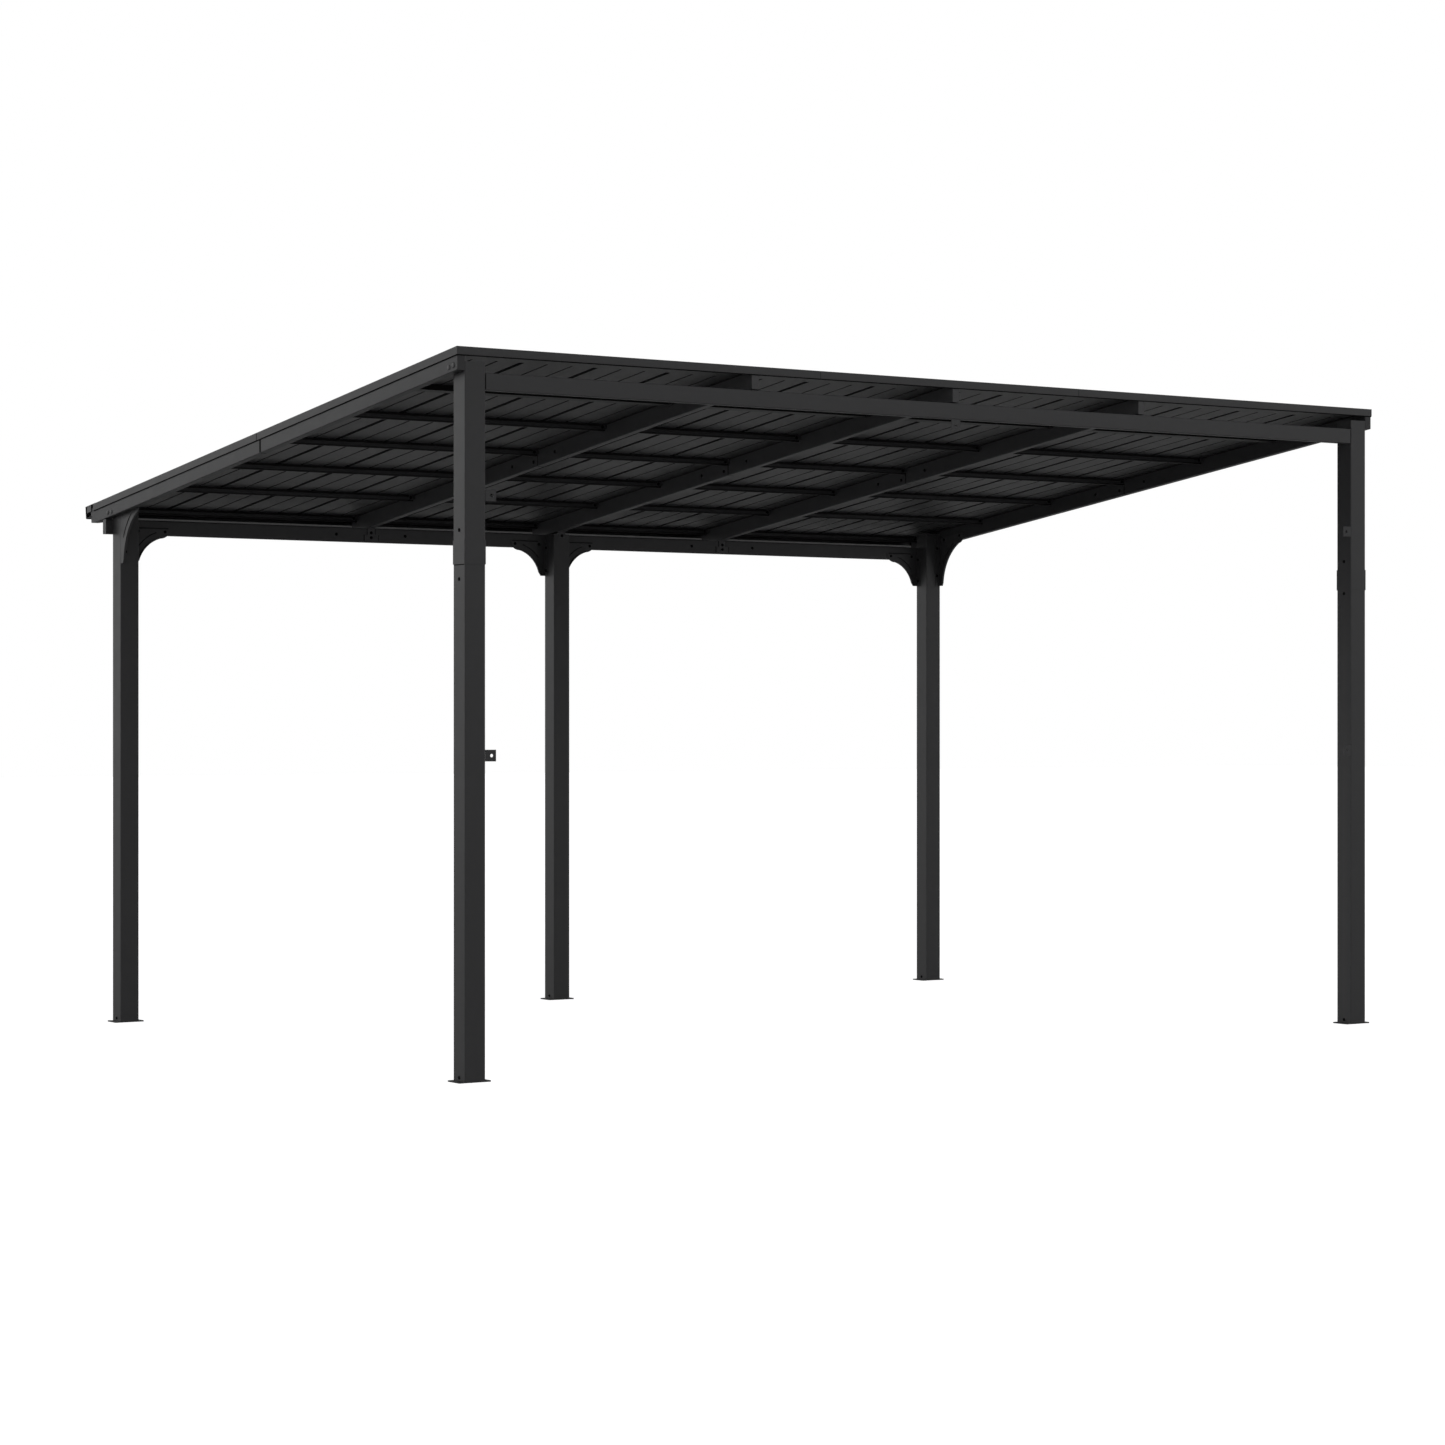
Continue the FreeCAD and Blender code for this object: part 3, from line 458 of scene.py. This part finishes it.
def head(mesh, centre, normal, profile, socket):
    rings = [ring(mesh, centre, normal, radius, height) for radius, height in profile]
    if socket:
        width, depth = socket
        for height in (profile[-1][1], depth):
            rings.append(ring(mesh, centre, normal, width, height, six_sided=True))
    for lower, upper in zip(rings, rings[1:]):
        bridge(mesh, lower, upper)
    mesh.faces.new(rings[-1])


def heads(name, places, profile, material, socket=None):
    mesh = bmesh.new()
    for x, run, z, normal in places:
        head(mesh, spot(x, run, z), normal, profile, socket)
    piece(name, mesh, material)


def both_sides(places):
    # The places and their mirror images.
    mirrored = [(across(x), run, z, Vector((-normal.x, normal.y, normal.z)))
                for x, run, z, normal in places]
    return places + mirrored


# Screws and bolts: places are X, run, level and the way that they look

FOOT_LEVEL = 16.3
WALL_MIDDLE = POST / 2
FRONT_MIDDLE = DEPTH - POST / 2
MIDDLE_LEFT = HALF_LENGTH - POST / 2
MIDDLE_RIGHT = HALF_LENGTH + POST / 2
LEFT_SPLICE_LEVELS = (1882.5, 1715.7)
RIGHT_SPLICE_LEVELS = (1882.0, 1751.5)
RAFTER_SPLICE_PLACES = ((1373, 2289), (1537.5, 2257), (1703, 2249))
BEAM_SPLICE_PLACES = (1027.4, 1360.8, 2843.1, 3177.2)
BEAM_SPLICE_LEVEL = 2031.5
BRACKET_LEVELS = (2041.5, 2020.5)
MIDDLE_BRACKET_LEVEL = 2052.8
BEAM_BRACE_LEVEL = 2016
BEAM_BRACE_REACHES = (31.5, 153)
FLANGE_RUN = 2914.5
FLANGE_LEVELS = (2000.5, 1900)
RAFTER_BRACE_PLACES = ((2697, 2111), (2816.6, 2095.6))
REAR_FLANGE_X = 20.5
REAR_FLANGE_LEVELS = (2056, 1925)
PURLIN_SCREW_INSET = 14
PURLIN_SCREW_DROP = 12
PURLIN_BRACKET_SHEET = 1.5
BOLT_PLACES = ((58.4, 2435.9), (26.2, 2440.9), (2910.7, 2086.7), (2874.5, 2087.3))


def foot_screws():
    # Through the side faces of the posts into the tubes of their feet.
    places = [(MIDDLE_LEFT, FRONT_MIDDLE, FOOT_LEVEL, LEFT)]
    for run in (WALL_MIDDLE, FRONT_MIDDLE):
        places += [(0, run, FOOT_LEVEL, LEFT), (POST, run, FOOT_LEVEL, RIGHT)]
    return both_sides(places)


def wall_post_screws():
    # Through the side faces of the wall posts, above and below their joints.
    places = []
    for x, levels in ((0, LEFT_SPLICE_LEVELS), (LENGTH - POST, RIGHT_SPLICE_LEVELS)):
        for level in levels:
            places += [(x, WALL_MIDDLE, level, LEFT), (x + POST, WALL_MIDDLE, level, RIGHT)]
    return places


def rafter_splice_screws():
    # On the faces of the rafters that look into a bay, round their joints.
    places = []
    for run, level in RAFTER_SPLICE_PLACES:
        for left, right in BAYS:
            places += [(left, run, level, RIGHT), (right, run, level, LEFT)]
    return places


def beam_splice_screws():
    return [(x, DEPTH, BEAM_SPLICE_LEVEL, BACK) for x in BEAM_SPLICE_PLACES]


def rafter_bracket_screws():
    # In the brackets of the front beam and of the middle post.
    places = both_sides([(RAFTER_LINES[1], PLATE_FACE, level, BACK) for level in BRACKET_LEVELS])
    return places + [(HALF_LENGTH, PLATE_FACE - POST, MIDDLE_BRACKET_LEVEL, BACK)]


def brace_screws():
    # In the corner braces: into the front beam, the end rafters, and the posts beside both.
    places = []
    for face in (POST, MIDDLE_RIGHT):
        places += [(face + out, PLATE_FACE, BEAM_BRACE_LEVEL, BACK) for out in BEAM_BRACE_REACHES]
        places += [(face + PLATE_SHEET, FLANGE_RUN, level, RIGHT) for level in FLANGE_LEVELS]
    places += [(PLATE_SHEET, run, level, RIGHT) for run, level in RAFTER_BRACE_PLACES]
    places += [(REAR_FLANGE_X, PLATE_FACE - POST, level, BACK) for level in REAR_FLANGE_LEVELS]
    return both_sides(places)


def rafter_bolts():
    # On the outer faces of the end rafters, over the wall posts and the front posts.
    return both_sides([(-RAFTER_WIDTH, run, level, LEFT) for run, level in BOLT_PLACES])


def purlin_screws():
    # In the angle brackets at both ends of each length of purlin, facing the wall.
    mesh = bmesh.new()
    for run in [FIRST_PURLIN] + EVEN_PURLINS:
        for left, right in BAYS:
            for x in (left + PURLIN_SCREW_INSET, right - PURLIN_SCREW_INSET):
                place = under_panels(x, run, -PURLIN_BRACKET_SHEET, PURLIN_SCREW_DROP)
                head(mesh, place, -DOWN_ROOF, SCREW, SCREW_SOCKET)
    piece("purlin_screws", mesh, screw_black)


SCREW_GROUPS = {
    "foot_screws": foot_screws(),
    "wall_post_screws": wall_post_screws(),
    "rafter_splice_screws": rafter_splice_screws(),
    "beam_splice_screws": beam_splice_screws(),
    "rafter_bracket_screws": rafter_bracket_screws(),
    "brace_screws": brace_screws(),
}
for name, places in SCREW_GROUPS.items():
    heads(name, places, SCREW, screw_black, SCREW_SOCKET)
purlin_screws()
heads("rafter_bolt_heads", rafter_bolts(), DOME, frame_coat)


# Rounded ridges: pressed beads, black strips of painted shade, hems and joint lines

RIDGE_STEPS = 8
TAPER = 2


def ridge(mesh, path, normal, width, height):
    # Half-round ridge along a path of points that lie on a face, with tapered ends.
    rows = []
    last = len(path) - 1
    for index, point in enumerate(path):
        before = path[max(index - 1, 0)]
        after = path[min(index + 1, last)]
        side = (after - before).normalized().cross(normal)
        ease = min(1, min(index, last - index) / TAPER)
        row = []
        for step in range(RIDGE_STEPS + 1):
            angle = math.pi * step / RIDGE_STEPS
            out = side * math.cos(angle) * width / 2
            rise = normal * math.sin(angle) * height * ease
            row.append(mesh.verts.new(point + (out + rise) / METRE))
        rows.append(row)
    for row, following in zip(rows, rows[1:]):
        for step in range(RIDGE_STEPS):
            mesh.faces.new((row[step], row[step + 1], following[step + 1], following[step]))


def stretch(start, finish):
    # Straight path with close points at each end, where a ridge tapers off.
    step = (finish - start).normalized() / METRE
    first = [start + step * count for count in range(TAPER + 1)]
    last = [finish - step * count for count in range(TAPER + 1)]
    return first + last[::-1]


# Pressed beads of the corner braces, as (out, up) from the corner of post and beam

ARC_STEPS = 20
LINE_STEPS = 16
BEAD_WIDTH = 4.4
BEAD_HEIGHT = 1.8


def arc(centre, radius, start, finish):
    out, up = centre
    turn = math.radians(finish - start) / ARC_STEPS
    angles = [math.radians(start) + turn * step for step in range(ARC_STEPS + 1)]
    return [(out + radius * math.cos(angle), up + radius * math.sin(angle)) for angle in angles]


def line(start, finish):
    shares = [step / LINE_STEPS for step in range(LINE_STEPS + 1)]
    return [(start[0] + (finish[0] - start[0]) * share, start[1] + (finish[1] - start[1]) * share)
            for share in shares]


BEAM_ARCH_BEAD = arc(centre=(165, -145), radius=165, start=142, finish=108)
BEAM_TOP_BEAD = line(start=(36, 29), finish=(168, 29.4))
RAFTER_ARCH_BEAD = arc(centre=(256, -128), radius=254, start=155, finish=126)


def brace_beads():
    mesh = bmesh.new()
    for face in (POST, MIDDLE_RIGHT):
        for base, way in ((face, 1), (across(face), -1)):
            for bead in (BEAM_ARCH_BEAD, BEAM_TOP_BEAD):
                path = [spot(base + way * out, PLATE_FACE, BEAM_FOOT + up) for out, up in bead]
                ridge(mesh, path, BACK, BEAD_WIDTH, BEAD_HEIGHT)
    for x, inner, outer in ((0, RIGHT, LEFT), (across(0), LEFT, RIGHT)):
        for face, normal in ((x, outer), (x + inner.x * PLATE_SHEET, inner)):
            path = [spot(face, DEPTH - POST - out, BEAM_FOOT + up) for out, up in RAFTER_ARCH_BEAD]
            ridge(mesh, path, normal, BEAD_WIDTH, BEAD_HEIGHT)
    # The beads' coat is painted near black, as painted shade along them.
    piece("brace_beads", mesh, painted_shade_bead_coat)


# Black strips of painted shade, joint lines and hems

SHADE_STRIP_HEIGHT = 3.8
JOINT_HEIGHT = 0.25
JOINT_INSET = 3
RAFTER_JOINT = 5.0
OUTER_JOINT = 14.0
OUTER_FACES = (-RAFTER_WIDTH, across(-RAFTER_WIDTH))
TUBE_JOINT = 3.2
BEAM_JOINT_OUT = 1.3
SLEEVE_FOOT = 1766.0
SLEEVE_INSET = 4
EAVE_HEM = 3.0
PURLIN_HEM = 6.0

# Upright edges of a bracket on the front beam: half width, foot and top above the beam's foot
BRACKET_EDGES = ((17.5, 33.0, 58.0), (32.5, 7.0, 33.0))

EAVE_ENDS = [HALF_LENGTH + corner[0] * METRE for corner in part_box("eave_trim")]


def trim_shade_strips():
    # Black strips under the lower edges of the wall and side trims: painted shade where the trims'
    # edges throw shade.
    mesh = bmesh.new()
    edge = -RAFTER_WIDTH - TRIM_OFF
    start, finish = (on_roof(x, -TRIM_OFF / 2, -TRIM_DROP) for x in (edge, across(edge)))
    ridge(mesh, stretch(start, finish), -UP, TRIM_OFF, SHADE_STRIP_HEIGHT)
    middle = -RAFTER_WIDTH - TRIM_OFF / 2
    for x in (middle, across(middle)):
        start, finish = (on_roof(x, run, -TRIM_DROP) for run in (0, SIDE_TRIM_END))
        ridge(mesh, stretch(start, finish), -OFF_ROOF, TRIM_OFF, SHADE_STRIP_HEIGHT)
    piece("trim_shade_strips", mesh, painted_shade_black)


def rafter_joint_shade_lines():
    # Black lines on both sides and the underside of each rafter, where its two lengths meet: the
    # real joint, drawn black as painted shade in its gap.
    mesh = bmesh.new()
    foot = RAFTER_BASE - RAFTER_SEAM * SLOPE
    top = foot + RAFTER_DEPTH * PLUMB
    for middle in RAFTER_LINES:
        left = middle - RAFTER_WIDTH / 2
        right = middle + RAFTER_WIDTH / 2
        for x, normal in ((left, LEFT), (right, RIGHT)):
            width = OUTER_JOINT if x in OUTER_FACES else RAFTER_JOINT
            low = spot(x, RAFTER_SEAM, foot + JOINT_INSET)
            high = spot(x, RAFTER_SEAM, top - JOINT_INSET)
            ridge(mesh, stretch(low, high), normal, width, JOINT_HEIGHT)
        start = spot(left + JOINT_INSET, RAFTER_SEAM, foot)
        finish = spot(right - JOINT_INSET, RAFTER_SEAM, foot)
        ridge(mesh, stretch(start, finish), -OFF_ROOF, RAFTER_JOINT, JOINT_HEIGHT)
    piece("rafter_joint_shade_lines", mesh, painted_shade_black)


def beam_joint_shade_lines():
    # Black lines of painted shade at the ends of the wall beam, under the sleeves of the wall
    # posts and beside the brackets on the front beam.
    mesh = bmesh.new()
    beside_post = POST + BEAM_JOINT_OUT
    for x in (beside_post, across(beside_post)):
        low = spot(x, 0, WALL_BEAM_TOP - BEAM_HEIGHT + JOINT_INSET)
        high = spot(x, 0, WALL_BEAM_TOP - JOINT_INSET)
        ridge(mesh, stretch(low, high), BACK, TUBE_JOINT, JOINT_HEIGHT)
    level = SLEEVE_FOOT - TUBE_JOINT / 2
    for x, normal in ((0, LEFT), (across(0), RIGHT)):
        back = spot(x, SLEEVE_INSET, level)
        front = spot(x, POST - SLEEVE_INSET, level)
        ridge(mesh, stretch(back, front), normal, TUBE_JOINT, JOINT_HEIGHT)
    for middle in (RAFTER_LINES[1], RAFTER_LINES[3]):
        for half_width, foot, top in BRACKET_EDGES:
            reach = half_width + TUBE_JOINT / 2
            for x in (middle - reach, middle + reach):
                low = spot(x, DEPTH, BEAM_FOOT + foot)
                high = spot(x, DEPTH, BEAM_FOOT + top)
                ridge(mesh, stretch(low, high), BACK, TUBE_JOINT, PLATE_SHEET)
    piece("beam_joint_shade_lines", mesh, painted_shade_black)


def eave_hem():
    # Rolled hem along the lower outer edge of the eave trim.
    mesh = bmesh.new()
    run = EAVE_RUN - EAVE_HEIGHT * math.sin(PITCH) - EAVE_HEM / 2
    start, finish = (on_roof(x, run, EAVE_TOP - EAVE_HEIGHT) for x in EAVE_ENDS)
    ridge(mesh, stretch(start, finish), -OFF_ROOF, EAVE_HEM, EAVE_HEM)
    piece("eave_hem", mesh, end_coat)


def purlin_hems():
    # Rolled lower edges of the purlins on the wall side, from the second row on, painted near
    # black as painted shade.
    mesh = bmesh.new()
    for run in EVEN_PURLINS:
        for bay in BAYS:
            start, finish = (under_panels(x, run, PURLIN_HEM / 2, PURLIN_DEPTH) for x in bay)
            ridge(mesh, stretch(start, finish), -OFF_ROOF, PURLIN_HEM, PURLIN_HEM)
    piece("purlin_hems", mesh, painted_shade_bead_coat)


# Black plates of painted shade in the ends of the eave trim, between the end flaps and the front
# web

FLAP_END = 3115.5
FLAP_LAP = 0.3
SHADE_PLATE_TOP = 11.8
SHADE_PLATE_FOOT = -34.6
SHADE_PLATE_OUT = 0.1
SHADE_PLATE_SHEET = 0.6


def web_run(rise):
    # Run of the middle of the eave trim's front web, which is square to the roof.
    return EAVE_RUN - (EAVE_TOP - rise) * math.sin(PITCH) - TRIM_SHEET / 2


def plate(mesh, corners, thickness):
    # Flat plate: an outline and its copy moved by the thickness.
    face = [mesh.verts.new(corner) for corner in corners]
    back = [mesh.verts.new(corner + thickness) for corner in corners]
    mesh.faces.new(face)
    mesh.faces.new(reversed(back))
    for index in range(len(face)):
        after = (index + 1) % len(face)
        mesh.faces.new((face[after], face[index], back[index], back[after]))
    bmesh.ops.recalc_face_normals(mesh, faces=mesh.faces)


def eave_end_shade_plates():
    mesh = bmesh.new()
    start = FLAP_END - FLAP_LAP
    outline = [(start, SHADE_PLATE_FOOT), (web_run(SHADE_PLATE_FOOT), SHADE_PLATE_FOOT),
               (web_run(SHADE_PLATE_TOP), SHADE_PLATE_TOP), (start, SHADE_PLATE_TOP)]
    for end, inwards in zip(EAVE_ENDS, (RIGHT, LEFT)):
        x = end + inwards.x * SHADE_PLATE_OUT
        corners = [on_roof(x, run, rise) for run, rise in outline]
        plate(mesh, corners, inwards * SHADE_PLATE_SHEET / METRE)
    piece("eave_end_shade_plates", mesh, painted_shade_black, smooth=False)


brace_beads()
trim_shade_strips()
rafter_joint_shade_lines()
beam_joint_shade_lines()
eave_hem()
eave_end_shade_plates()
purlin_hems()


# Floor

STAGE_REACH = 60
STAGE_CELLS = 4
PAPER = (0.8, 0.8, 0.8)
PAPER_ROUGHNESS = 0.9
PAPER_SPECULAR = 0.1
WHITE = (1, 1, 1, 1)
FLOOR_GLOW = 0.9
BOUNCE_DROP = 0.002


def paper(name, glow):
    material, tree, shader = new_material(name, PAPER, PAPER_ROUGHNESS, PAPER_SPECULAR)
    shader.inputs["Emission Color"].default_value = WHITE
    shader.inputs["Emission Strength"].default_value = glow
    clouds = noise(tree, object_place(tree), scale=6, detail=3)
    gloss = uneven(tree, clouds, PAPER_ROUGHNESS, change=0.05)
    tree.links.new(gloss, shader.inputs["Roughness"])
    return material


def level_sheet(name, glow, drop):
    # Level sheet under the shelter, a given way down from its feet.
    mesh = bmesh.new()
    bmesh.ops.create_grid(mesh, x_segments=STAGE_CELLS, y_segments=STAGE_CELLS, size=STAGE_REACH)
    result = bpy.data.meshes.new(name)
    mesh.to_mesh(result)
    mesh.free()
    result.materials.append(paper(name, glow))
    item = bpy.data.objects.new(name, result)
    item.location.z = -drop
    bpy.context.scene.collection.objects.link(item)
    return item


def floor():
    # The camera sees a glowing white floor; a dim sheet below it throws back the light.
    white = level_sheet("floor", FLOOR_GLOW, drop=0)
    white.visible_diffuse = False
    white.visible_glossy = False
    white.visible_shadow = False
    bounce = level_sheet("bounce_sheet", 0, drop=BOUNCE_DROP)
    bounce.visible_camera = False


# Broad soft lights

LIGHT_SPREAD = math.radians(50)

# Height and heading in degrees, and strength; heading 0 is the right, 90 the front
LIGHTS = {
    "front_light": (12, 90, 0.588),
    "front_left_light": (12, 135, 0.567),
    "right_light": (12, 0, 0.529),
    "back_right_light": (12, 315, 0.425),
    "high_back_light": (45, 270, 0.369),
    "low_left_light": (2, 180, 0.316),
    "low_back_left_light": (2, 225, 0.635),
}


def studio_light(name, height, heading, strength):
    data = bpy.data.lights.new(name, "SUN")
    data.energy = strength
    data.angle = LIGHT_SPREAD
    light = bpy.data.objects.new(name, data)
    up = math.radians(height)
    around = math.radians(heading)
    level = Vector((math.cos(around), math.sin(around), 0)) * math.cos(up)
    source = level + UP * math.sin(up)
    light.rotation_euler = (-source).to_track_quat("-Z", "Y").to_euler()
    bpy.context.scene.collection.objects.link(light)


def backdrop():
    # White behind the shelter, and no light from the sky.
    world = bpy.data.worlds.new("studio")
    bpy.context.scene.world = world
    world.use_nodes = True
    tree = world.node_tree
    dark = tree.nodes["Background"]
    dark.inputs["Color"].default_value = WHITE
    dark.inputs["Strength"].default_value = 0
    white = tree.nodes.new("ShaderNodeBackground")
    white.inputs["Color"].default_value = WHITE
    seen = tree.nodes.new("ShaderNodeLightPath").outputs["Is Camera Ray"]
    choice = tree.nodes.new("ShaderNodeMixShader")
    tree.links.new(seen, choice.inputs["Fac"])
    tree.links.new(dark.outputs["Background"], choice.inputs[1])
    tree.links.new(white.outputs["Background"], choice.inputs[2])
    tree.links.new(choice.outputs["Shader"], tree.nodes["World Output"].inputs["Surface"])


floor()
for name, (height, heading, strength) in LIGHTS.items():
    studio_light(name, height, heading, strength)
backdrop()
